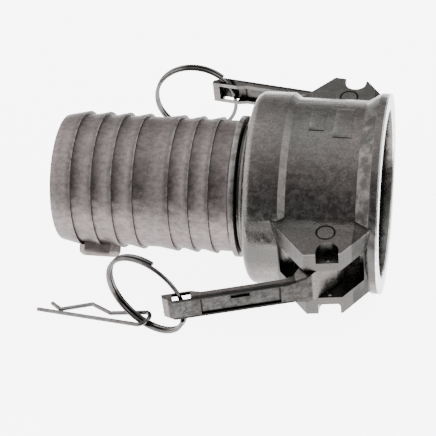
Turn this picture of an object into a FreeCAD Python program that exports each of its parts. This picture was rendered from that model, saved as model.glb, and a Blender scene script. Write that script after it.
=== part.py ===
import FreeCAD, Part
import math
import os

import Sketcher

# Camlock coupling, female coupler with a barbed hose shank, cast body, two cam arms,
# two pull rings and two safety clips.  Millimetres.  X runs along the bore and out of the
# mouth, Z runs along the pivot pins, the origin is the centre of the mouth face.
os.makedirs("parts", exist_ok=True)
doc = FreeCAD.newDocument("camlock_coupling")

DIMENSIONS = [
    # body of revolution
    ("mouth_rim_r", 37.9), ("mouth_rim_back", 3.3), ("flare_end", 8.2), ("barrel_r", 35.0),
    ("barrel_end", 33.7), ("housing_r", 36.8), ("housing_start", 36.2), ("housing_end", 50.0),
    ("neck_r", 26.0), ("neck_end", 52.2), ("throat_r", 25.2), ("throat_end", 53.2),
    ("bead_r", 27.2), ("bead_start", 54.1), ("bead_end", 56.0), ("bead_foot", 57.0),
    ("shank_root_r", 25.25), ("barb_crest_r", 26.4), ("shank_end", 125.0), ("shank_tip_r", 24.6),
    ("barb_1", 63.7), ("barb_2", 71.4), ("barb_3", 79.0), ("barb_4", 92.6), ("barb_5", 100.7),
    ("barb_6", 108.5), ("barb_7", 116.6), ("barb_foot_2", 68.3), ("barb_foot_3", 76.0),
    ("barb_foot_4", 86.5), ("barb_foot_5", 97.6), ("barb_foot_6", 105.5), ("barb_foot_7", 113.5),
    ("housing_round", 3.4),
    ("waterway_r", 22.5), ("mouth_bore_r", 31.95), ("mouth_bore_end", 6.0),
    ("socket_r", 32.3), ("socket_end", 39.7), ("seat_r", 33.9), ("seat_end", 46.5),
    # gasket
    ("gasket_outer_r", 33.5), ("gasket_inner_r", 25.4), ("gasket_front", 40.1),
    ("gasket_back", 46.45), ("gasket_step", 41.2), ("gasket_inner_step_r", 26.6),
    # ears and pivots
    ("pin_x", 18.0), ("pin_y", 37.9), ("pin_r", 3.3), ("ear_width", 30.8), ("ear_gap", 14.0),
    ("ear_root_y", 26.0), ("ear_back_x", 38.9), ("ear_back_y", 33.6), ("ear_tip_back_x", 24.6),
    ("ear_tip_back_y", 49.6), ("ear_tip_front_x", 11.5), ("ear_tip_front_y", 47.8),
    ("ear_front_x", 2.2), ("ear_front_y", 35.2),
    ("recess_back_x", 35.8), ("recess_front_x", 4.6), ("recess_y", 33.9),
    ("window_back_x", 30.8), ("window_front_x", 6.6), ("window_y", 24.0), ("outside_y", 60.0),
    ("pocket_x", 16.3), ("pocket_y", 46.7), ("pocket_r", 4.0), ("pocket_depth", 4.8),
    ("pocket_back_x", 20.3), ("pocket_front_x", 12.3), ("through_all", 80.0),
    ("clip_hole_x", 16.2), ("clip_hole_y", 46.6), ("clip_hole_r", 1.1), ("pin_bore_edge", 0.35),
    # cast details
    ("gate_back", 115.4), ("gate_front", 105.0), ("gate_back_tip", 118.6),
    ("gate_front_tip", 101.8), ("gate_half_width", 4.4), ("gate_top", 30.4),
    ("gate_round", 2.4),
    ("waterway_cut_from", 130.0), ("waterway_cut", 60.0),
    ("badge_base_r", 34.4), ("badge_top_r", 35.3), ("badge_1_front", 21.9),
    ("badge_1_back", 27.4), ("badge_1_span", 17.0), ("badge_2_front", 11.9),
    ("badge_2_back", 18.5), ("badge_2_span", 26.0),
    # cam arm, in its own frame: pin at the origin, lever along -X, outer side towards -Y
    ("hub_r", 5.8), ("hub_width", 13.4), ("hub_bore_r", 3.38), ("lobe_x", 0.8), ("lobe_y", 5.4),
    ("lobe_r", 4.6), ("cheek_front_x", 3.75), ("cheek_front_y", 6.1), ("cheek_back_x", 5.3),
    ("cheek_back_y", 6.1), ("lever_outer_y", 12.3), ("lever_inner_y", 9.4), ("lever_tip_x", 57.2),
    ("lever_toe_x", 61.0), ("lever_toe_y", 9.6), ("eye_inner_y", 8.15), ("eye_blend_end", 50.4),
    ("eye_blend_start", 46.8), ("lever_half_width", 4.8), ("flare_start_x", 13.0),
    ("flare_end_x", 6.3), ("flare_out_z", 6.75), ("trim_z", 9.0), ("trim_x", 66.0),
    ("shoulder_x", 9.4), ("hub_front_x", 3.1), ("hub_front_y", 4.9),
    ("neck_in_x", 4.2), ("neck_in_y", 2.6), ("elbow_x", 13.6), ("elbow_y", 8.4),
    ("knee_x", 17.2), ("channel_width", 6.6), ("channel_floor_y", 11.05),
    ("channel_end_x", 58.2), ("channel_start_x", 16.4), ("channel_ramp_x", 10.6),
    ("channel_ramp_y", 8.6), ("channel_open_y", 4.0), ("ring_slot_x", 54.0),
    ("ring_slot_back_x", 57.3), ("ring_slot_front_x", 50.7), ("ring_slot_y", 10.25),
    ("ring_slot_low_y", 11.85), ("ring_slot_high_y", 8.65),
    ("panel_front_x", 18.7), ("panel_back_x", 47.6), ("panel_half_height", 3.9),
    ("panel_depth", 0.75), ("panel_boss_front", 29.8), ("panel_boss_back", 36.6),
    ("panel_boss_low", 1.2), ("panel_boss_high", 2.0),
    # pull rings and safety clips
    ("ring_r", 16.75), ("ring_wire_r", 0.78), ("ring_pitch", 1.68), ("ring_turns", 1.75),
    ("ring_part_turn", 0.25),
    ("clip_wire_r", 0.8), ("clip_eye_r", 3.4), ("clip_leg", 54.0), ("clip_waist_u", 16.5),
    ("clip_waist_w", 0.3), ("clip_bulge_u", 29.0), ("clip_bulge_w", 3.6), ("clip_touch_u", 42.5),
    ("clip_touch_w", 1.64), ("clip_flare_u", 49.5), ("clip_flare_w", 0.9), ("clip_eye_u", 1.2),
]
# degrees from +Z towards -Y where the gate stub points
GATE_ANGLE = 133.8
# pose of the moving pieces
FRONT_ARM_OPEN = 17.0
BACK_ARM_OPEN = 9.6
RINGS = {
    # swing of the ring's plane out of the lever's line, drop of its centre, where its gap ends
    "front": {"swing": 40.5, "drop": 2.3, "gap_end": 76.0},
    "back": {"swing": 9.6, "drop": 5.6, "gap_end": 44.0},
}
CLIPS = {
    # place round the ring, slope of the straight leg, way the clip points along the ring's plane
    "front": {"at": 250.0, "slope": 20.0, "way": -1},
    "back": {"at": 290.0, "slope": 18.0, "way": 1},
}

sheet = doc.addObject("Spreadsheet::Sheet", "dims")
for row, (alias, value) in enumerate(DIMENSIONS, start=1):
    sheet.set(f"A{row}", alias)
    sheet.set(f"B{row}", str(value))
    sheet.setAlias(f"B{row}", alias)
doc.recompute()


def size(name):
    """The sheet's value for a name, or its negative for a name with a minus sign."""
    if name == "0":
        return 0.0
    if name.startswith("-"):
        return -float(sheet.get(name[1:]))
    return float(sheet.get(name))


def bind(obj, prop, name):
    obj.setExpression(prop, ("-dims." + name[1:]) if name.startswith("-") else "dims." + name)


def new_body(name):
    body = doc.addObject("PartDesign::Body", name)
    body.Label = name
    return body


def origin_feature(body, role):
    return next(f for f in body.Origin.OriginFeatures if f.Role == role)


def new_sketch(body, name, role, offset=None):
    sketch = body.newObject("Sketcher::SketchObject", name)
    sketch.AttachmentSupport = [(origin_feature(body, role), "")]
    sketch.MapMode = "FlatFace"
    if offset is not None:
        sketch.AttachmentOffset = offset
    return sketch


def place_point(sketch, geometry, vertex, point):
    """Hold one vertex at a pair of named sizes."""
    for kind, name in zip(("DistanceX", "DistanceY"), point):
        if name == "0":
            on_axis = -2 if kind == "DistanceX" else -1
            sketch.addConstraint(Sketcher.Constraint("PointOnObject", geometry, vertex, on_axis))
            continue
        index = sketch.addConstraint(
            Sketcher.Constraint(kind, -1, 1, geometry, vertex, size(name)))
        sketch.renameConstraint(index, f"{kind}_{geometry}_{vertex}")
        bind(sketch, f"Constraints.{kind}_{geometry}_{vertex}", name)


def outline(sketch, points):
    """Closed outline of straight lines through points given as pairs of named sizes."""
    spots = [FreeCAD.Vector(size(x), size(y), 0) for x, y in points]
    first = sketch.GeometryCount
    for here, there in zip(spots, spots[1:] + spots[:1]):
        sketch.addGeometry(Part.LineSegment(here, there), False)
    for i, point in enumerate(points):
        following = (i + 1) % len(points)
        sketch.addConstraint(Sketcher.Constraint("Coincident", first + i, 2, first + following, 1))
        place_point(sketch, first + i, 1, point)


def circle(sketch, x, y, radius):
    """Circle with its centre and radius given as named sizes."""
    centre = FreeCAD.Vector(size(x), size(y), 0)
    index = sketch.addGeometry(
        Part.Circle(centre, FreeCAD.Vector(0, 0, 1), size(radius)), False)
    place_point(sketch, index, 3, (x, y))
    held = sketch.addConstraint(Sketcher.Constraint("Radius", index, size(radius)))
    sketch.renameConstraint(held, f"Radius_{index}")
    bind(sketch, f"Constraints.Radius_{index}", radius)


def extrude(body, kind, name, sketch, length=None, symmetric=False, reverse=False):
    feature = body.newObject(kind, name)
    feature.Profile = sketch
    if length is None:
        feature.Type = "ThroughAll"
    else:
        feature.Length = size(length)
        bind(feature, "Length", length)
    if symmetric:
        feature.SideType = "Symmetric"
    feature.Reversed = reverse
    sketch.Visibility = False
    return feature


def revolve(body, kind, name, sketch, span=None):
    """Full turn about the sketch's horizontal axis, or a named span centred on the sketch."""
    feature = body.newObject(kind, name)
    feature.Profile = sketch
    feature.ReferenceAxis = (sketch, ["H_Axis"])
    feature.Angle = 360.0
    if span is not None:
        feature.Midplane = True
        bind(feature, "Angle", span)
    sketch.Visibility = False
    return feature


def shifted(x=0.0, y=0.0, z=0.0):
    return FreeCAD.Placement(FreeCAD.Vector(x, y, z), FreeCAD.Rotation())


# ---------------------------------------------------------------- cast body
body = new_body("coupler_body")

skin = new_sketch(body, "skin", "XZ_Plane")
# each barb drops from its crest to a foot, and a plain land leads to the next one
barbs = [("-barb_1", "shank_root_r"), ("-barb_1", "barb_crest_r")]
for number in range(2, 8):
    barbs += [(f"-barb_foot_{number}", "shank_root_r"), (f"-barb_{number}", "shank_root_r"),
              (f"-barb_{number}", "barb_crest_r")]
outline(skin, [
    ("0", "0"), ("0", "mouth_rim_r"), ("-mouth_rim_back", "mouth_rim_r"),
    ("-flare_end", "barrel_r"), ("-barrel_end", "barrel_r"), ("-housing_start", "housing_r"),
    ("-housing_end", "housing_r"), ("-housing_end", "neck_r"), ("-neck_end", "neck_r"),
    ("-neck_end", "throat_r"), ("-throat_end", "throat_r"), ("-bead_start", "bead_r"),
    ("-bead_end", "bead_r"), ("-bead_foot", "shank_root_r")]
    + barbs + [("-shank_end", "shank_tip_r"), ("-shank_end", "0")])
revolve(body, "PartDesign::Revolution", "turned_skin", skin)
doc.recompute()

turned = body.Tip
housing_edge = [
    f"Edge{i}" for i, e in enumerate(turned.Shape.Edges, start=1)
    if isinstance(e.Curve, Part.Circle)
    and abs(e.Curve.Radius - size("housing_r")) < 0.01
    and abs(e.Curve.Center.x + size("housing_end")) < 0.01]
round_back = body.newObject("PartDesign::Fillet", "housing_round")
round_back.Base = (turned, housing_edge)
bind(round_back, "Radius", "housing_round")

for side, sign in (("front", "-"), ("back", "")):
    ear = new_sketch(body, f"ear_{side}_outline", "XY_Plane")
    outline(ear, [
        ("-ear_back_x", sign + "ear_root_y"), ("-ear_back_x", sign + "ear_back_y"),
        ("-ear_tip_back_x", sign + "ear_tip_back_y"),
        ("-ear_tip_front_x", sign + "ear_tip_front_y"),
        ("-ear_front_x", sign + "ear_front_y"), ("-ear_front_x", sign + "ear_root_y")])
    extrude(body, "PartDesign::Pad", f"ear_{side}", ear, "ear_width", symmetric=True)
doc.recompute()

bore = new_sketch(body, "bore", "XZ_Plane")
outline(bore, [
    ("0", "0"), ("0", "mouth_bore_r"), ("-mouth_bore_end", "mouth_bore_r"),
    ("-mouth_bore_end", "socket_r"), ("-socket_end", "socket_r"),
    ("-socket_end", "seat_r"), ("-seat_end", "seat_r"), ("-seat_end", "waterway_r"),
    ("-shank_end", "waterway_r"), ("-shank_end", "0")])
revolve(body, "PartDesign::Groove", "bored_way", bore)

for side, sign in (("front", "-"), ("back", "")):
    recess = new_sketch(body, f"recess_{side}_outline", "XY_Plane")
    outline(recess, [
        ("-recess_back_x", sign + "recess_y"), ("-recess_back_x", sign + "outside_y"),
        ("-recess_front_x", sign + "outside_y"), ("-recess_front_x", sign + "recess_y")])
    extrude(body, "PartDesign::Pocket", f"recess_{side}", recess, "ear_gap", symmetric=True)
    window = new_sketch(body, f"window_{side}_outline", "XY_Plane")
    outline(window, [
        ("-window_back_x", sign + "window_y"), ("-window_back_x", sign + "outside_y"),
        ("-window_front_x", sign + "outside_y"), ("-window_front_x", sign + "window_y")])
    extrude(body, "PartDesign::Pocket", f"window_{side}", window, "ear_gap", symmetric=True)

for level, side_z, reverse in (("upper", "", False), ("lower", "-", True)):
    height = size(side_z + "ear_width") / 2
    for shape in ("round", "open"):
        pocket = new_sketch(body, f"pocket_{level}_{shape}_outline", "XY_Plane", shifted(z=height))
        pocket.setExpression("AttachmentOffset.Base.z", side_z + "dims.ear_width / 2")
        for sign in ("-", ""):
            if shape == "round":
                circle(pocket, "-pocket_x", sign + "pocket_y", "pocket_r")
            else:
                outline(pocket, [
                    ("-pocket_back_x", sign + "pocket_y"), ("-pocket_back_x", sign + "outside_y"),
                    ("-pocket_front_x", sign + "outside_y"), ("-pocket_front_x", sign + "pocket_y")])
        extrude(body, "PartDesign::Pocket", f"pocket_{level}_{shape}", pocket, "pocket_depth",
                reverse=reverse)

bores = new_sketch(body, "pin_bores_outline", "XY_Plane")
clip_holes = new_sketch(body, "clip_holes_outline", "XY_Plane")
for sign in ("-", ""):
    circle(bores, "-pin_x", sign + "pin_y", "pin_r")
    circle(clip_holes, "-clip_hole_x", sign + "clip_hole_y", "clip_hole_r")
extrude(body, "PartDesign::Pocket", "pin_bores", bores, "through_all", symmetric=True)
extrude(body, "PartDesign::Pocket", "clip_holes", clip_holes, "through_all", symmetric=True)

# the stub left where the casting was cut from its runner
gate = new_sketch(body, "gate_outline", "XY_Plane",
                  FreeCAD.Placement(FreeCAD.Vector(0, 0, 0),
                                    FreeCAD.Rotation(FreeCAD.Vector(1, 0, 0), GATE_ANGLE)))
outline(gate, [
    ("-gate_back", "-gate_half_width"), ("-gate_front", "-gate_half_width"),
    ("-gate_front_tip", "0"), ("-gate_front", "gate_half_width"),
    ("-gate_back", "gate_half_width"), ("-gate_back_tip", "0")])
gate_pad = extrude(body, "PartDesign::Pad", "gate_stub", gate, "gate_top")
doc.recompute()
gate_way = FreeCAD.Rotation(FreeCAD.Vector(1, 0, 0), GATE_ANGLE).multVec(FreeCAD.Vector(0, 0, 1))
gate_rim = [
    f"Edge{i}" for i, e in enumerate(gate_pad.Shape.Edges, start=1)
    if all(abs(v.Point.dot(gate_way) - size("gate_top")) < 0.01 for v in e.Vertexes)]
gate_edge = body.newObject("PartDesign::Fillet", "gate_edge")
gate_edge.Base = (gate_pad, gate_rim)
bind(gate_edge, "Radius", "gate_round")

# two blank raised pads where the marks sit
for badge in ("badge_1", "badge_2"):
    mark = new_sketch(body, badge + "_outline", "XZ_Plane")
    outline(mark, [
        (f"-{badge}_back", "badge_base_r"), (f"-{badge}_back", "badge_top_r"),
        (f"-{badge}_front", "badge_top_r"), (f"-{badge}_front", "badge_base_r")])
    revolve(body, "PartDesign::Revolution", badge, mark, badge + "_span")
# the waterway is cut again through the root of the gate stub
again = new_sketch(body, "waterway_again_outline", "YZ_Plane",
                   shifted(z=-size("waterway_cut_from")))
again.setExpression("AttachmentOffset.Base.z", "-dims.waterway_cut_from")
circle(again, "0", "0", "waterway_r")
extrude(body, "PartDesign::Pocket", "waterway_again", again, "waterway_cut", reverse=True)
doc.recompute()

# ---------------------------------------------------------------- gasket
gasket = new_body("gasket")
section = new_sketch(gasket, "gasket_section", "XZ_Plane")
outline(section, [
    ("-gasket_front", "gasket_inner_step_r"), ("-gasket_front", "gasket_outer_r"),
    ("-gasket_back", "gasket_outer_r"), ("-gasket_back", "gasket_inner_r"),
    ("-gasket_step", "gasket_inner_r")])
revolve(gasket, "PartDesign::Revolution", "gasket_ring", section)

# ---------------------------------------------------------------- pivot pins
for side, sign in (("front", "-"), ("back", "")):
    pin = new_body(f"pivot_pin_{side}")
    face = new_sketch(pin, f"pin_{side}_outline", "XY_Plane")
    circle(face, "-pin_x", sign + "pin_y", "pin_r")
    extrude(pin, "PartDesign::Pad", f"pin_{side}_rod", face, "ear_width", symmetric=True)
    doc.recompute()
    rod = pin.Tip
    ends = [
        f"Edge{i}" for i, e in enumerate(rod.Shape.Edges, start=1)
        if isinstance(e.Curve, Part.Circle)]
    bevel = pin.newObject("PartDesign::Chamfer", f"pin_{side}_ends")
    bevel.Base = (rod, ends)
    bevel.Size = size("pin_bore_edge")
    bind(bevel, "Size", "pin_bore_edge")


# ---------------------------------------------------------------- cam arms
def cam_arm(name, placement):
    """One cam arm in its own frame, then set in place."""
    arm = new_body(name)
    hub = new_sketch(arm, name + "_hub_outline", "XY_Plane")
    circle(hub, "0", "0", "hub_r")
    extrude(arm, "PartDesign::Pad", name + "_hub", hub, "hub_width", symmetric=True)
    lobe = new_sketch(arm, name + "_lobe_outline", "XY_Plane")
    circle(lobe, "-lobe_x", "lobe_y", "lobe_r")
    extrude(arm, "PartDesign::Pad", name + "_lobe", lobe, "hub_width", symmetric=True)
    cheek = new_sketch(arm, name + "_cheek_outline", "XY_Plane")
    outline(cheek, [
        ("hub_r", "0"), ("cheek_front_x", "cheek_front_y"), ("-lobe_x", "lobe_y"),
        ("-cheek_back_x", "cheek_back_y"), ("-hub_r", "0")])
    extrude(arm, "PartDesign::Pad", name + "_cheek", cheek, "hub_width", symmetric=True)
    lever = new_sketch(arm, name + "_lever_outline", "XY_Plane")
    outline(lever, [
        ("-lever_tip_x", "-lever_outer_y"), ("-shoulder_x", "-lever_outer_y"),
        ("hub_front_x", "-hub_front_y"), ("0", "0"), ("-neck_in_x", "neck_in_y"),
        ("-elbow_x", "-elbow_y"), ("-knee_x", "-lever_inner_y"),
        ("-eye_blend_start", "-lever_inner_y"), ("-eye_blend_end", "-eye_inner_y"),
        ("-lever_toe_x", "-eye_inner_y"), ("-lever_toe_x", "-lever_toe_y")])
    extrude(arm, "PartDesign::Pad", name + "_lever", lever, "hub_width", symmetric=True)
    for edge, sign in (("upper", ""), ("lower", "-")):
        trim = new_sketch(arm, f"{name}_{edge}_trim_outline", "XZ_Plane")
        outline(trim, [
            ("-trim_x", sign + "lever_half_width"), ("-flare_start_x", sign + "lever_half_width"),
            ("-flare_end_x", sign + "flare_out_z"), ("-flare_end_x", sign + "trim_z"),
            ("-trim_x", sign + "trim_z")])
        extrude(arm, "PartDesign::Pocket", f"{name}_{edge}_trim", trim, "through_all",
                symmetric=True)
    channel = new_sketch(arm, name + "_channel_outline", "XY_Plane")
    outline(channel, [
        ("-channel_end_x", "-channel_floor_y"), ("-channel_start_x", "-channel_floor_y"),
        ("-channel_ramp_x", "-channel_ramp_y"), ("-channel_ramp_x", "channel_open_y"),
        ("-channel_end_x", "channel_open_y")])
    extrude(arm, "PartDesign::Pocket", name + "_channel", channel, "channel_width",
            symmetric=True)
    panel = new_sketch(arm, name + "_panel_outline", "XZ_Plane",
                       shifted(z=size("lever_outer_y")))
    panel.setExpression("AttachmentOffset.Base.z", "dims.lever_outer_y")
    outline(panel, [
        ("-panel_back_x", "-panel_half_height"), ("-panel_front_x", "-panel_half_height"),
        ("-panel_front_x", "panel_half_height"), ("-panel_back_x", "panel_half_height")])
    outline(panel, [
        ("-panel_boss_back", "-panel_boss_low"), ("-panel_boss_front", "-panel_boss_low"),
        ("-panel_boss_front", "panel_boss_high"), ("-panel_boss_back", "panel_boss_high")])
    extrude(arm, "PartDesign::Pocket", name + "_panel", panel, "panel_depth")
    slot = new_sketch(arm, name + "_ring_slot_outline", "XY_Plane")
    outline(slot, [
        ("-ring_slot_back_x", "-ring_slot_low_y"), ("-ring_slot_front_x", "-ring_slot_low_y"),
        ("-ring_slot_front_x", "-ring_slot_high_y"), ("-ring_slot_back_x", "-ring_slot_high_y")])
    extrude(arm, "PartDesign::Pocket", name + "_ring_slot", slot, "through_all", symmetric=True)
    bore = new_sketch(arm, name + "_hub_bore_outline", "XY_Plane")
    circle(bore, "0", "0", "hub_bore_r")
    extrude(arm, "PartDesign::Pocket", name + "_hub_bore", bore, "through_all", symmetric=True)
    arm.Placement = placement
    return arm


def arm_placement(side):
    """Pin centre and turn of an arm; the back one is the front one turned over about X."""
    axis = FreeCAD.Vector(0, 0, 1)
    if side == "front":
        turn = FreeCAD.Rotation(axis, FRONT_ARM_OPEN)
        return FreeCAD.Placement(FreeCAD.Vector(-size("pin_x"), -size("pin_y"), 0), turn)
    over = FreeCAD.Rotation(FreeCAD.Vector(1, 0, 0), 180)
    turn = FreeCAD.Rotation(axis, -BACK_ARM_OPEN) * over
    return FreeCAD.Placement(FreeCAD.Vector(-size("pin_x"), size("pin_y"), 0), turn)


# ---------------------------------------------------------------- pull rings and safety clips
def ring_frame(side):
    """Centre of a pull ring and its in-plane direction towards the arm."""
    seat = arm_placement(side).multVec(
        FreeCAD.Vector(-size("ring_slot_x"), -size("ring_slot_y"), 0))
    out = FRONT_ARM_OPEN if side == "front" else BACK_ARM_OPEN
    way = math.radians(RINGS[side]["swing"] - out)
    sign = -1 if side == "front" else 1
    toward = FreeCAD.Vector(math.cos(way), sign * math.sin(way), 0)
    drop = RINGS[side]["drop"]
    radius = size("ring_r")
    wall = (size("lever_half_width") + size("channel_width") / 2) / 2
    reach = [math.sqrt(radius ** 2 - (z + drop) ** 2) for z in (wall, -wall)]
    centre = seat - toward * (sum(reach) / 2)
    centre.z = -drop
    # the coil's own advance from its first end to where it passes through the lever
    passing = math.degrees(math.asin(drop / radius))
    lead = size("ring_pitch") * (360 - RINGS[side]["gap_end"] + passing) / 360
    return centre, toward, lead


def pull_ring(side):
    name = f"pull_ring_{side}"
    centre, toward, lead = ring_frame(side)
    up = FreeCAD.Vector(0, 0, 1)
    normal = toward.cross(up)
    flat = FreeCAD.Rotation(toward, up, normal, "XYZ")
    turn = flat * FreeCAD.Rotation(up, RINGS[side]["gap_end"])
    spine = doc.addObject("Part::Helix", name + "_spine")
    for prop, alias in (("Pitch", "ring_pitch"), ("Radius", "ring_r")):
        bind(spine, prop, alias)
    bind(spine, "SegmentLength", "ring_part_turn")
    spine.setExpression("Height", "dims.ring_pitch * dims.ring_turns")
    wire = doc.addObject("Part::Circle", name + "_wire")
    bind(wire, "Radius", "ring_wire_r")
    wire.Placement = FreeCAD.Placement(
        FreeCAD.Vector(size("ring_r"), 0, 0), FreeCAD.Rotation(FreeCAD.Vector(1, 0, 0), 90))
    wire.setExpression("Placement.Base.x", "dims.ring_r")
    doc.recompute()
    ring = doc.addObject("Part::Sweep", name)
    ring.Sections = [wire]
    ring.Spine = (spine, [f"Edge{i + 1}" for i in range(len(spine.Shape.Edges))])
    ring.Solid = True
    ring.Frenet = True
    ring.Label = name
    ring.Placement = FreeCAD.Placement(centre, turn).multiply(shifted(z=-lead))
    return ring


def clip_frame(side):
    """Where a clip hangs on its ring, and its length and width directions."""
    centre, toward, lead = ring_frame(side)
    setting = CLIPS[side]
    at = math.radians(setting["at"])
    up = FreeCAD.Vector(0, 0, 1)
    # middle of the two strands there, along the coil's axis
    turns = (setting["at"] - RINGS[side]["gap_end"]) / 360
    middle = size("ring_pitch") * (turns + 0.5) - lead
    spot = centre + (toward * math.cos(at) + up * math.sin(at)) * size("ring_r")
    spot += toward.cross(up) * middle
    slope = math.radians(setting["slope"])
    along = toward * (setting["way"] * math.cos(slope)) - up * math.sin(slope)
    across = toward.cross(up) * (-1 if side == "front" else 1)
    return spot, along, across


def safety_clip(side):
    name = f"safety_clip_{side}"
    spot, along, across = clip_frame(side)
    path = doc.addObject("Sketcher::SketchObject", name + "_path")
    eye = size("clip_eye_r")
    stations = [
        ("clip_leg", "-clip_eye_r"), ("0", "-clip_eye_r"), ("0", "clip_eye_r"),
        ("clip_waist_u", "clip_waist_w"), ("clip_bulge_u", "clip_bulge_w"),
        ("clip_touch_u", "-clip_touch_w"), ("clip_flare_u", "clip_flare_w")]
    spots = [FreeCAD.Vector(size(u), size(w), 0) for u, w in stations]
    path.addGeometry(Part.LineSegment(spots[0], spots[1]), False)
    path.addGeometry(Part.ArcOfCircle(
        Part.Circle(FreeCAD.Vector(0, 0, 0), FreeCAD.Vector(0, 0, 1), eye),
        math.pi / 2, 3 * math.pi / 2), False)
    for here, there in zip(spots[2:], spots[3:]):
        path.addGeometry(Part.LineSegment(here, there), False)
    path.addConstraint(Sketcher.Constraint("Coincident", 0, 2, 1, 2))
    path.addConstraint(Sketcher.Constraint("Coincident", 1, 1, 2, 1))
    path.addConstraint(Sketcher.Constraint("PointOnObject", 1, 3, -2))
    for leg in (2, 3, 4):
        path.addConstraint(Sketcher.Constraint("Coincident", leg, 2, leg + 1, 1))
    place_point(path, 0, 1, stations[0])
    place_point(path, 0, 2, stations[1])
    place_point(path, 2, 1, stations[2])
    for leg, station in zip((2, 3, 4, 5), stations[3:]):
        place_point(path, leg, 2, station)
    wire = doc.addObject("Part::Circle", name + "_wire")
    bind(wire, "Radius", "clip_wire_r")
    wire.Placement = FreeCAD.Placement(
        FreeCAD.Vector(size("clip_leg"), -eye, 0), FreeCAD.Rotation(FreeCAD.Vector(0, 1, 0), 90))
    wire.setExpression("Placement.Base.x", "dims.clip_leg")
    wire.setExpression("Placement.Base.y", "-dims.clip_eye_r")
    doc.recompute()
    clip = doc.addObject("Part::Sweep", name)
    clip.Sections = [wire]
    clip.Spine = (path, [f"Edge{i}" for i in range(1, 7)])
    clip.Solid = True
    clip.Transition = "Round corner"
    clip.Label = name
    turn = FreeCAD.Rotation(along, across, along.cross(across), "XYZ")
    clip.Placement = FreeCAD.Placement(spot, turn).multiply(shifted(x=-size("clip_eye_u")))
    return clip


pieces = [body, gasket] + [doc.getObject(f"pivot_pin_{side}") for side in ("front", "back")]
for side in ("front", "back"):
    pieces.append(cam_arm(f"cam_arm_{side}", arm_placement(side)))
    pieces.append(pull_ring(side))
    pieces.append(safety_clip(side))
doc.recompute()

for obj in doc.Objects:
    if "Invalid" in obj.State or "Error" in obj.State:
        raise RuntimeError(f"{obj.Name} is {obj.State}")
for piece in pieces:
    shape = piece.Shape
    if shape.isNull() or not shape.isValid():
        raise RuntimeError(f"{piece.Label} has no valid shape")
    shape.exportStep(f"parts/{piece.Label}.step")
    print(piece.Label, len(shape.Solids), round(shape.Volume, 1), shape.BoundBox)
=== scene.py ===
import math

import bpy
from mathutils import Matrix, Vector


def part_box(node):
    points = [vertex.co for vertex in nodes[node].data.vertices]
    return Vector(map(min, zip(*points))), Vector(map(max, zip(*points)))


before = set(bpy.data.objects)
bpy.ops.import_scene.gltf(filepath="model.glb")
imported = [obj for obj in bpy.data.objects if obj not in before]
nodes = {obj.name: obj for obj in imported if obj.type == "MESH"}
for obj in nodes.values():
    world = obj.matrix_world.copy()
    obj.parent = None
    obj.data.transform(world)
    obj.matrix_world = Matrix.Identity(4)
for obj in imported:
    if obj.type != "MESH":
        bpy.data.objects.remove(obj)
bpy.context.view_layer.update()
MM = 0.001


# ------------------------------------------------------------ node helpers
class Graph:
    """Small helper to write a node tree as plain calls."""

    def __init__(self, tree):
        self.tree = tree
        self.tree.nodes.clear()

    def add(self, kind, **settings):
        node = self.tree.nodes.new(kind)
        for key, value in settings.items():
            setattr(node, key, value)
        return node

    def feed(self, socket, value):
        if isinstance(value, bpy.types.NodeSocket):
            self.tree.links.new(value, socket)
        else:
            socket.default_value = value

    def math(self, operation, *values):
        node = self.add("ShaderNodeMath", operation=operation)
        for socket, value in zip(node.inputs, values):
            self.feed(socket, value)
        return node.outputs[0]

    def plus(self, a, b):
        return self.math("ADD", a, b)

    def minus(self, a, b):
        return self.math("SUBTRACT", a, b)

    def times(self, a, b):
        return self.math("MULTIPLY", a, b)

    def absolute(self, value):
        return self.math("ABSOLUTE", value)

    def spread(self, value, low, high, to_low=0.0, to_high=1.0):
        """Smooth step from low to high."""
        node = self.add("ShaderNodeMapRange", interpolation_type="SMOOTHSTEP")
        for name, number in (("From Min", low), ("From Max", high),
                             ("To Min", to_low), ("To Max", to_high)):
            self.feed(node.inputs[name], number)
        self.feed(node.inputs["Value"], value)
        return node.outputs[0]

    def near(self, value, centre, half_width, soft):
        """1 within half_width of centre, fading to 0 over soft."""
        away = self.absolute(self.minus(value, centre))
        return self.spread(away, half_width, half_width + soft, 1.0, 0.0)

    def noise(self, vector, scale, detail=3.0, roughness=0.55, distortion=0.0):
        node = self.add("ShaderNodeTexNoise")
        self.feed(node.inputs["Vector"], vector)
        node.inputs["Scale"].default_value = scale
        node.inputs["Detail"].default_value = detail
        node.inputs["Roughness"].default_value = roughness
        node.inputs["Distortion"].default_value = distortion
        return node.outputs["Fac"]

    def mix(self, share, a, b):
        node = self.add("ShaderNodeMix", data_type="RGBA")
        self.feed(node.inputs[0], share)
        self.feed(node.inputs[6], a)
        self.feed(node.inputs[7], b)
        return node.outputs[2]

    def bump(self, height, distance, strength=1.0, normal=None):
        node = self.add("ShaderNodeBump")
        node.inputs["Distance"].default_value = distance
        node.inputs["Strength"].default_value = strength
        self.feed(node.inputs["Height"], height)
        if normal is not None:
            self.feed(node.inputs["Normal"], normal)
        return node.outputs[0]

    def scaled(self, vector, factors):
        node = self.add("ShaderNodeVectorMath", operation="MULTIPLY")
        self.feed(node.inputs[0], vector)
        node.inputs[1].default_value = factors
        return node.outputs[0]

    def parts(self, vector):
        node = self.add("ShaderNodeSeparateXYZ")
        self.feed(node.inputs[0], vector)
        return node.outputs[0], node.outputs[1], node.outputs[2]

    def radius(self, a, b):
        """Distance of the point (a, b) from the origin."""
        return self.math("SQRT", self.plus(self.times(a, a), self.times(b, b)))

    def occlusion(self, distance, inside=False):
        node = self.add("ShaderNodeAmbientOcclusion", samples=8, inside=inside)
        node.inputs["Distance"].default_value = distance
        return node.outputs["AO"]


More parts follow.
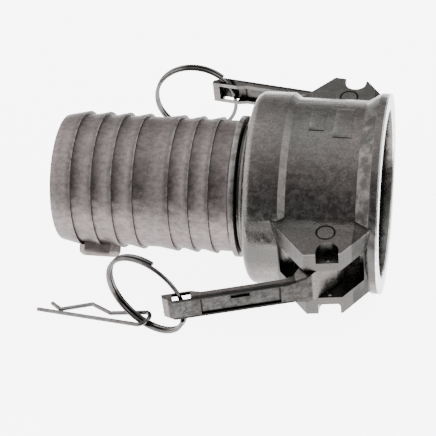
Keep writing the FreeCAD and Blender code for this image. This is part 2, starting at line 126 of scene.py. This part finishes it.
def new_material(name):
    """A named material with its graph, its shader and the place on the object."""
    material = bpy.data.materials.new(name)
    material.use_nodes = True
    graph = Graph(material.node_tree)
    out = graph.add("ShaderNodeOutputMaterial")
    shader = graph.add("ShaderNodeBsdfPrincipled")
    graph.tree.links.new(shader.outputs[0], out.inputs["Surface"])
    shader.inputs["Specular Tint"].default_value = GRAZING_TINT
    place = graph.add("ShaderNodeTexCoord").outputs["Object"]
    return material, graph, shader, place


def new_metal(name):
    material, g, shader, place = new_material(name)
    shader.inputs["Metallic"].default_value = 1.0
    return material, g, shader, place


def dress(g, shader, colour, roughness, normal):
    g.feed(shader.inputs["Base Color"], colour)
    g.feed(shader.inputs["Roughness"], roughness)
    g.feed(shader.inputs["Normal"], normal)


def pin_distance(g, x, y):
    """Distance from the nearer pivot pin's axis."""
    return g.radius(g.minus(x, PIN_X), g.minus(g.absolute(y), PIN_Y))


def rosy(value):
    """Steel with the warm pinkish cast of pickled castings."""
    return (value * 1.1, value * 0.985, value * 0.955, 1)


def pink(value):
    """The blasted shank's warmer cast."""
    return (value * 1.14, value * 0.965, value * 0.95, 1)


def olive(value):
    """Darker skin of the casting, slightly yellow."""
    return (value * 1.02, value, value * 0.95, 1)


def cool(value):
    """Bare metal, rubbed or turned."""
    return (value, value, value * 0.99, 1)


# ------------------------------------------------------------ steel and rubber
def cast_look(g, place, tone, rough, depth):
    """Colour, roughness and normal of investment-cast stainless steel."""
    # skin: clouds and blotches of two tints under a fine dark grain
    grain = g.noise(place, 1250, 3.0, 0.7)
    blotch = g.noise(place, 420, 4.0, 0.65, 0.3)
    cloud = g.noise(place, 75, 3.0, 0.55)
    tint = g.noise(g.scaled(place, (0.7, 1.0, 1.3)), 38, 2.0, 0.5)
    dark = g.mix(g.spread(tint, 0.42, 0.6), rosy(tone * 0.86), olive(tone * 0.8))
    light = g.mix(g.spread(tint, 0.42, 0.6), rosy(tone * 1.18), olive(tone * 1.06))
    worn = g.plus(g.times(blotch, 0.5), g.times(cloud, 0.5))
    colour = g.mix(g.spread(worn, 0.38, 0.62), dark, light)
    colour = g.mix(g.spread(grain, 0.42, 0.62, 0.0, 0.6), colour, olive(tone * 0.55))
    # painted shade in corners and bare metal on edges
    corner_shade = g.spread(g.occlusion(depth), 0.35, 0.92)
    colour = g.mix(corner_shade, olive(tone * 0.16), colour)
    edge = g.spread(g.occlusion(0.7 * MM, inside=True), 0.3, 0.62, 1.0, 0.0)
    patchy = g.spread(blotch, 0.36, 0.56, 0.25, 1.0)
    edge = g.times(g.times(edge, patchy), corner_shade)
    colour = g.mix(edge, colour, cool(tone * 1.6))
    roughness = g.spread(blotch, 0.3, 0.7, rough - 0.07, rough + 0.09)

    pit = g.spread(g.noise(place, 560, 2.0, 0.5), 0.25, 0.34)
    normal = g.bump(blotch, 0.12 * MM, 0.55)
    normal = g.bump(grain, 0.05 * MM, 0.8, normal)
    normal = g.bump(pit, 0.06 * MM, 0.7, normal)
    return colour, roughness, normal


def arm_steel(name, opened):
    """Cast arm: mottled outer face darkened with painted shade, painted shade in its panel's
    corners and dark lines of painted shade along its long edges.
    """
    material, g, shader, place = new_metal(name)
    x, y, z = g.parts(place)
    colour, roughness, normal = cast_look(g, place, ARM_TONE, ARM_ROUGH, 5 * MM)

    # the arm's own frame: reach runs along the lever, height across it from the pin
    along = g.minus(x, PIN_X)
    inward = g.minus(PIN_Y, g.absolute(y))
    height = g.minus(g.times(inward, math.cos(opened)), g.times(along, math.sin(opened)))
    reach = g.plus(g.times(along, math.cos(opened)), g.times(inward, math.sin(opened)))
    flank = g.absolute(z)

    # mottled outer face, darkened with painted shade
    outer_face_shade = g.spread(height, LEVER_OUTER + 1.1 * MM, LEVER_OUTER + 1.5 * MM, 1.0, 0.0)
    mottle = g.spread(g.noise(place, 520, 4.0, 0.7), 0.36, 0.64, 0.66, 0.93)
    colour = g.mix(g.times(outer_face_shade, mottle), colour, olive(ARM_TONE * 0.14))

    # painted shade in the corners of the recessed panel
    sides = g.near(flank, PANEL_HALF, 0.5 * MM, 0.3 * MM)
    for end in (PANEL_FRONT, PANEL_BACK):
        sides = g.math("MAXIMUM", sides, g.near(reach, end, 0.5 * MM, 0.3 * MM))
    middle = (PANEL_FRONT + PANEL_BACK) / 2
    lengthwise = g.near(reach, middle, PANEL_FRONT - middle + 0.2 * MM, 0.1 * MM)
    crosswise = g.near(flank, 0.0, PANEL_HALF + 0.2 * MM, 0.1 * MM)
    in_panel = g.times(lengthwise, crosswise)
    sunk = g.spread(height, LEVER_OUTER + 0.08 * MM, LEVER_OUTER + 0.25 * MM)
    shallow = g.spread(height, LEVER_OUTER + 1.5 * MM, LEVER_OUTER + 1.8 * MM, 1.0, 0.0)
    sunk = g.times(sunk, shallow)
    panel_corner_shade = g.times(g.times(sides, in_panel), sunk)
    colour = g.mix(g.times(panel_corner_shade, 0.85), colour, olive(ARM_TONE * 0.05))

    # painted shade: a dark line along each long edge's rounding, fading out at the hub
    rounding_band = g.spread(height, LEVER_OUTER + 0.2 * MM, LEVER_OUTER + 0.6 * MM, 1.0, 0.0)
    edge_line_shade = g.near(flank, LEVER_HALF, 0.75 * MM, 0.3 * MM)
    edge_line_shade = g.times(g.times(edge_line_shade, rounding_band), g.spread(reach, HUB_START - 3 * MM, HUB_START, 1.0, 0.0))
    colour = g.mix(edge_line_shade, colour, olive(ARM_TONE * 0.12))
    dress(g, shader, colour, roughness, normal)
    return material


def body_steel():
    """The coupler's casting: blasted shank, smoother barrel, turned mouth, seams at the pins."""
    material, g, shader, place = new_metal("cast_body")
    x, y, z = g.parts(place)
    colour, roughness, normal = cast_look(g, place, BODY_TONE, BODY_ROUGH, 4.5 * MM)

    # pinker, duller shank
    shank = g.spread(x, SHANK_START - 1.0 * MM, SHANK_START, 1.0, 0.0)
    streak = g.noise(g.scaled(place, (0.6, 1.0, 1.0)), 620, 4.0, 0.7)
    paler = g.mix(g.spread(streak, 0.36, 0.62), pink(BODY_TONE * 0.66), pink(BODY_TONE * 1.08))
    colour = g.mix(g.times(shank, 0.72), colour, paler)
    roughness = g.plus(roughness, g.times(shank, 0.16))

    # painted highlight lines along the barbs' crests, on their upper side
    out = g.radius(y, z)
    high = g.spread(out, CREST_R - 0.22 * MM, CREST_R - 0.05 * MM)
    crest_highlight = g.times(high, g.spread(g.noise(place, 330, 4.0, 0.65), 0.4, 0.6))
    crest_highlight = g.times(crest_highlight, g.spread(z, 7 * MM, 15 * MM))
    colour = g.mix(g.times(crest_highlight, shank), colour, cool(BODY_TONE * 1.7))

    # painted shade on the ears, darkest on the flanks below their flat tops
    ear_shade = g.spread(g.absolute(y), PIN_Y - 2.6 * MM, PIN_Y - 1.0 * MM)
    ear_shade = g.times(ear_shade, g.spread(z, EAR_TOP - 0.8 * MM, EAR_TOP - 0.2 * MM, 0.78, 0.38))
    colour = g.mix(ear_shade, colour, olive(BODY_TONE * 0.3))

    # patchy painted shade on the flare behind the rim and on the housing's shoulder
    band_shade = g.near(x, FLARE_X, 2.3 * MM, 0.3 * MM)
    shoulder = g.near(x, SHOULDER_X, 1.2 * MM, 0.3 * MM)
    band_shade = g.plus(band_shade, g.times(shoulder, 0.5))
    patches = g.spread(g.noise(place, 210, 4.0, 0.6), 0.36, 0.6, 0.35, 0.9)
    band_shade = g.times(band_shade, patches)
    colour = g.mix(band_shade, colour, olive(BODY_TONE * 0.2))

    # dark seam round each pin's end
    seam_r = pin_distance(g, x, y)
    seam = g.near(seam_r, PIN_R + 0.1 * MM, 0.2 * MM, 0.12 * MM)
    colour = g.mix(seam, colour, olive(BODY_TONE * 0.1))

    # turned mouth face and the land just inside it
    turned = g.spread(x, MOUTH_X - 0.75 * MM, MOUTH_X - 0.55 * MM)
    marks = g.math("SINE", g.times(out, 2 * math.pi / TURNING_PITCH))
    bright = g.mix(g.spread(g.noise(place, 500, 3.0), 0.35, 0.65), cool(0.42), cool(0.6))
    colour = g.mix(turned, colour, bright)
    roughness = g.mix(turned, roughness, TURNED_ROUGH)
    normal = g.bump(g.times(marks, turned), 0.01 * MM, 0.4, normal)

    dress(g, shader, colour, roughness, normal)
    return material


def pin_steel():
    """Ground pin with a dark seam round its end."""
    material, g, shader, place = new_metal("ground_pin")
    x, y, _ = g.parts(place)
    colour, roughness, normal = cast_look(g, place, BODY_TONE * 0.8, BODY_ROUGH, 2 * MM)
    seam_r = pin_distance(g, x, y)
    seam = g.spread(seam_r, PIN_R - 0.45 * MM, PIN_R - 0.25 * MM)
    colour = g.mix(seam, colour, olive(BODY_TONE * 0.1))
    dress(g, shader, colour, roughness, normal)
    return material


def drawn_wire(name, tone, rough):
    """Polished spring wire with fine drawing marks, dull spots and painted shade in its
    crevices.
    """
    material, g, shader, place = new_metal(name)
    haze = g.noise(place, 420, 3.0, 0.6)
    marks = g.noise(place, 3200, 2.0, 0.5)
    colour = g.mix(g.spread(haze, 0.35, 0.65), rosy(tone * 0.7), cool(tone))
    # painted shade where the wire is hemmed in by other surfaces
    colour = g.mix(g.spread(g.occlusion(1.2 * MM), 0.3, 0.85), olive(tone * 0.12), colour)
    g.feed(shader.inputs["Base Color"], colour)
    g.feed(shader.inputs["Roughness"], g.spread(haze, 0.3, 0.7, rough * 0.7, rough * 1.6))
    g.feed(shader.inputs["Normal"], g.bump(marks, 0.012 * MM, 0.6))
    return material


def black_rubber(name):
    """Moulded rubber, slightly dusty."""
    material, g, shader, place = new_material(name)
    dust = g.noise(place, 240, 4.0, 0.6)
    g.feed(shader.inputs["Base Color"],
           g.mix(g.spread(dust, 0.45, 0.8), (0.012, 0.012, 0.013, 1), (0.05, 0.048, 0.045, 1)))
    g.feed(shader.inputs["Roughness"], g.spread(dust, 0.3, 0.7, 0.42, 0.62))
    g.feed(shader.inputs["Normal"], g.bump(g.noise(place, 1800, 2.0), 0.03 * MM, 0.5))
    return material


# tones are reflectances; lengths are metres, in the frame's coordinates or the arm's own
GRAZING_TINT = (0.58, 0.58, 0.58, 1)
BODY_TONE = 0.11
BODY_ROUGH = 0.27
ARM_TONE = 0.085
ARM_ROUGH = 0.3
WIRE_TONE = 0.07
WIRE_ROUGH = 0.075
TURNED_ROUGH = (0.24, 0.24, 0.24, 1)
TURNING_PITCH = 0.35 * MM
MOUTH_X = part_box("coupler_body")[1][0]
SHANK_START = MOUTH_X - 53.5 * MM
CREST_R = 26.4 * MM
EAR_TOP = 15.4 * MM
FLARE_X = MOUTH_X - 5.8 * MM
SHOULDER_X = MOUTH_X - 35.0 * MM
ARM_OPEN = {"front": 17.0, "back": 9.6}
LEVER_OUTER = -12.3 * MM
LEVER_HALF = 4.8 * MM
HUB_START = -13 * MM
PANEL_FRONT = -18.7 * MM
PANEL_BACK = -47.6 * MM
PANEL_HALF = 3.9 * MM
pin_low, pin_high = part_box("pivot_pin_back")
PIN_X = (pin_low[0] + pin_high[0]) / 2
PIN_Y = (pin_low[1] + pin_high[1]) / 2
PIN_R = (pin_high[0] - pin_low[0]) / 2

pin_finish = pin_steel()
wire_finish = drawn_wire("spring_wire", WIRE_TONE, WIRE_ROUGH)
FINISH = {"coupler_body": body_steel(), "gasket": black_rubber("gasket_rubber")}
for side in ("front", "back"):
    FINISH[f"pivot_pin_{side}"] = pin_finish
    FINISH[f"cam_arm_{side}"] = arm_steel(f"cast_arm_{side}", math.radians(ARM_OPEN[side]))
    FINISH[f"pull_ring_{side}"] = wire_finish
    FINISH[f"safety_clip_{side}"] = wire_finish
for node, finish in FINISH.items():
    mesh = nodes[node].data
    mesh.materials.clear()
    mesh.materials.append(finish)


# ------------------------------------------------------------ rounded edges
def soften(node, width, angle=30.0, segments=2):
    """Close the mesh's split corners and round its edges; its own vertices stay as imported."""
    thing = nodes[node]
    weld = thing.modifiers.new("weld", "WELD")
    weld.merge_threshold = 0.001 * MM
    bevel = thing.modifiers.new("round", "BEVEL")
    bevel.width = width
    bevel.segments = segments
    bevel.limit_method = "ANGLE"
    bevel.angle_limit = math.radians(angle)
    bevel.harden_normals = True
    bevel.use_clamp_overlap = True


soften("coupler_body", 0.35 * MM)
for side in ("front", "back"):
    soften(f"cam_arm_{side}", 0.5 * MM)

# ------------------------------------------------------------ floor with a pool of light
FLOOR_Z = -38.5 * MM
FLOOR_HALF = 3.0
POOL_CENTRE = (-0.07, 0.06)
POOL_INNER = 0.178
POOL_OUTER = 0.24
POOL_GLOW = 6.0
FAR_GLOW = 0.9
floor_mesh = bpy.data.meshes.new("floor")
corners = [(-1, -1), (1, -1), (1, 1), (-1, 1)]
floor_mesh.from_pydata([(a * FLOOR_HALF, b * FLOOR_HALF, FLOOR_Z) for a, b in corners],
                       [], [(0, 1, 2, 3)])
floor = bpy.data.objects.new("floor", floor_mesh)
bpy.context.scene.collection.objects.link(floor)
pale, g, shader, place = new_material("pale_floor")
g.feed(shader.inputs["Base Color"],
       g.mix(g.noise(place, 9), (0.8, 0.8, 0.8, 1), (0.82, 0.82, 0.82, 1)))
shader.inputs["Roughness"].default_value = 0.9
shader.inputs["Emission Color"].default_value = (1, 1, 1, 1)
x, y, _ = g.parts(place)
away = g.radius(g.minus(x, POOL_CENTRE[0]), g.minus(y, POOL_CENTRE[1]))
glow = g.spread(away, POOL_INNER, POOL_OUTER, POOL_GLOW, FAR_GLOW)
g.feed(shader.inputs["Emission Strength"], glow)
floor_mesh.materials.append(pale)

# ------------------------------------------------------------ soft studio light
world = bpy.data.worlds.new("studio")
bpy.context.scene.world = world
world.use_nodes = True
g = Graph(world.node_tree)
out = g.add("ShaderNodeOutputWorld")
light = g.add("ShaderNodeBackground")
g.tree.links.new(light.outputs[0], out.inputs["Surface"])
x, y, _ = g.parts(g.add("ShaderNodeTexCoord").outputs["Generated"])
FRONT_LIGHT, BACK_LIGHT, BACK_LOSS = 0.22, 2.0, 0.9
LEFT_LIGHT, RIGHT_LIGHT = 3.4, 2.8
strength = g.spread(y, -0.95, 0.5, FRONT_LIGHT, BACK_LIGHT)
strength = g.minus(strength, g.spread(y, 0.5, 1.0, 0.0, BACK_LOSS))
strength = g.plus(strength, g.spread(x, -0.75, -0.3, LEFT_LIGHT, 0.0))
strength = g.plus(strength, g.spread(x, 0.35, 0.8, 0.0, RIGHT_LIGHT))
g.feed(light.inputs["Strength"], strength)
light.inputs["Color"].default_value = (1, 0.99, 0.985, 1)

# ------------------------------------------------------------ camera
CAMERA_PLACE = (0.0410, -0.40445, 0.38107)
CAMERA_RIGHT = (0.9808, 0.1734, -0.0887)
CAMERA_BACK = (0.1860, -0.6995, 0.6900)
camera = bpy.data.objects.new("camera", bpy.data.cameras.new("camera"))
bpy.context.scene.collection.objects.link(camera)
bpy.context.scene.camera = camera
camera.data.sensor_width = 36.0
camera.data.lens = 120.96
camera.data.clip_start = 0.01
camera.data.clip_end = 20.0
right = Vector(CAMERA_RIGHT).normalized()
back = Vector(CAMERA_BACK)
back = (back - right * back.dot(right)).normalized()
up = back.cross(right)
turn = Matrix((right, up, back)).transposed()
camera.matrix_world = Matrix.Translation(CAMERA_PLACE) @ turn.to_4x4()
